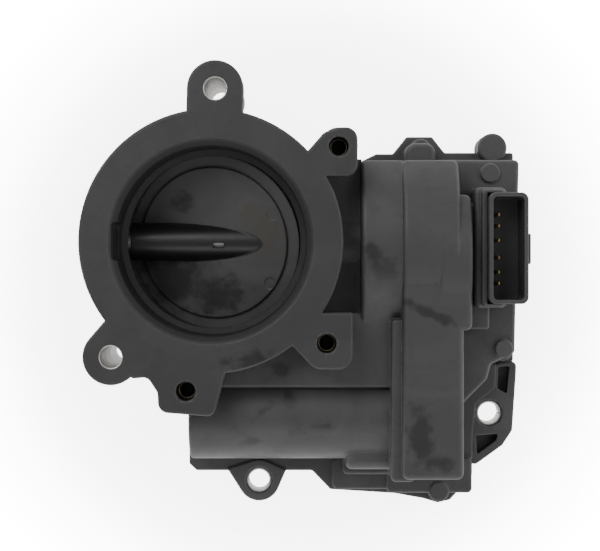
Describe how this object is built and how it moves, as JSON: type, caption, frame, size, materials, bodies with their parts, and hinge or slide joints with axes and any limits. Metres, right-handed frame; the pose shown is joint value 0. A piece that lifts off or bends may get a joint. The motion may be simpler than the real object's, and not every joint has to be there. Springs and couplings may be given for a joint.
{
  "type": "electronic throttle body",
  "caption": "Plastic electronic throttle body with an oblique plate in a round bore, four sleeved lugs, a gear case with a motor bay, and a plug socket.",
  "frame": {"origin": "on the bore axis, in the face that meets the manifold", "axes": "+Z along the bore to the inlet flange, +X along the throttle shaft towards the gears, +Y towards the upper fixing lug"},
  "size_m": [0.1388, 0.1404, 0.045],
  "materials": {
    "case_plastic": "moulded, fine grain",
    "cover_plastic": "moulded",
    "black_plastic": "moulded, slight sheen",
    "plate_plastic": "moulded, oil stained",
    "gear_plastic": "moulded",
    "rubber": "plain",
    "sleeve_steel": "turned",
    "screw_steel": "zinc plated",
    "bearing_steel": "ground",
    "spring_steel": "drawn wire",
    "can_steel": "zinc plated",
    "brass": "turned",
    "pin_metal": "plated",
    "magnet": "sintered",
    "carbon": "pressed",
    "copper": "drawn",
    "lamination": "stacked sheet",
    "board": "lacquered"
  },
  "bodies": {
    "housing": {"main_housing": "case_plastic", "rear_cover": "cover_plastic", "cover_gasket": "rubber", "cover_screws": "screw_steel", "long_sleeves": "sleeve_steel", "short_sleeves": "sleeve_steel", "duct_inserts": "brass", "manifold_seal": "rubber", "left_bearing": "bearing_steel", "shaft_end_plug": "screw_steel", "bearing_outer_ring": "bearing_steel", "bearing_balls": "bearing_steel", "shaft_seal": "rubber", "stop_pins": "sleeve_steel", "spring_sleeve": "gear_plastic", "return_spring": "spring_steel", "compound_pin": "sleeve_steel", "idler_pin": "sleeve_steel", "motor_can": "can_steel", "motor_magnets": "magnet", "motor_end_cap": "black_plastic", "motor_bushes": "brass", "motor_brushes": "carbon", "motor_plate": "can_steel", "motor_screws": "screw_steel", "connector_shell": "black_plastic", "connector_pins": "pin_metal", "sensor_board": "board", "hall_sensor": "black_plastic", "lead_strips": "pin_metal", "lead_carrier": "black_plastic"},
    "throttle": {"throttle_plate": "plate_plastic", "throttle_shaft": "sleeve_steel", "bearing_inner_ring": "bearing_steel", "throttle_gear": "gear_plastic", "sensor_magnet": "magnet"},
    "intermediate": {"compound_gear": "gear_plastic"},
    "idler": {"idler_gear": "gear_plastic"},
    "rotor": {"rotor_shaft": "sleeve_steel", "rotor_core": "lamination", "rotor_windings": "copper", "commutator": "copper", "motor_pinion": "brass"}
  },
  "joints": [
    {"name": "throttle_turn", "type": "hinge", "parent": "housing", "child": "throttle", "pos_m": [0, 0, 0.0175], "axis": [1, 0, 0], "range_deg": [-7, 83], "stiffness_Nm_per_rad": 0.12, "deforming": ["return_spring"]},
    {"name": "intermediate_spin", "type": "hinge", "parent": "housing", "child": "intermediate", "pos_m": [0.068, -0.01716, 0.019], "axis": [1, 0, 0], "range_deg": [-318, 28]},
    {"name": "idler_spin", "type": "hinge", "parent": "housing", "child": "idler", "pos_m": [0.068, -0.04112, 0.02037], "axis": [1, 0, 0], "range_deg": [-31, 346]},
    {"name": "rotor_spin", "type": "hinge", "parent": "housing", "child": "rotor", "pos_m": [0.02, -0.0555, 0.0185], "axis": [1, 0, 0], "range_deg": [-1322, 113]}
  ],
  "couplings": [
    {"joint": "intermediate_spin", "follows": "throttle_turn", "ratio": -3.8182},
    {"joint": "idler_spin", "follows": "throttle_turn", "ratio": 4.1502},
    {"joint": "rotor_spin", "follows": "throttle_turn", "ratio": -15.909}
  ]
}
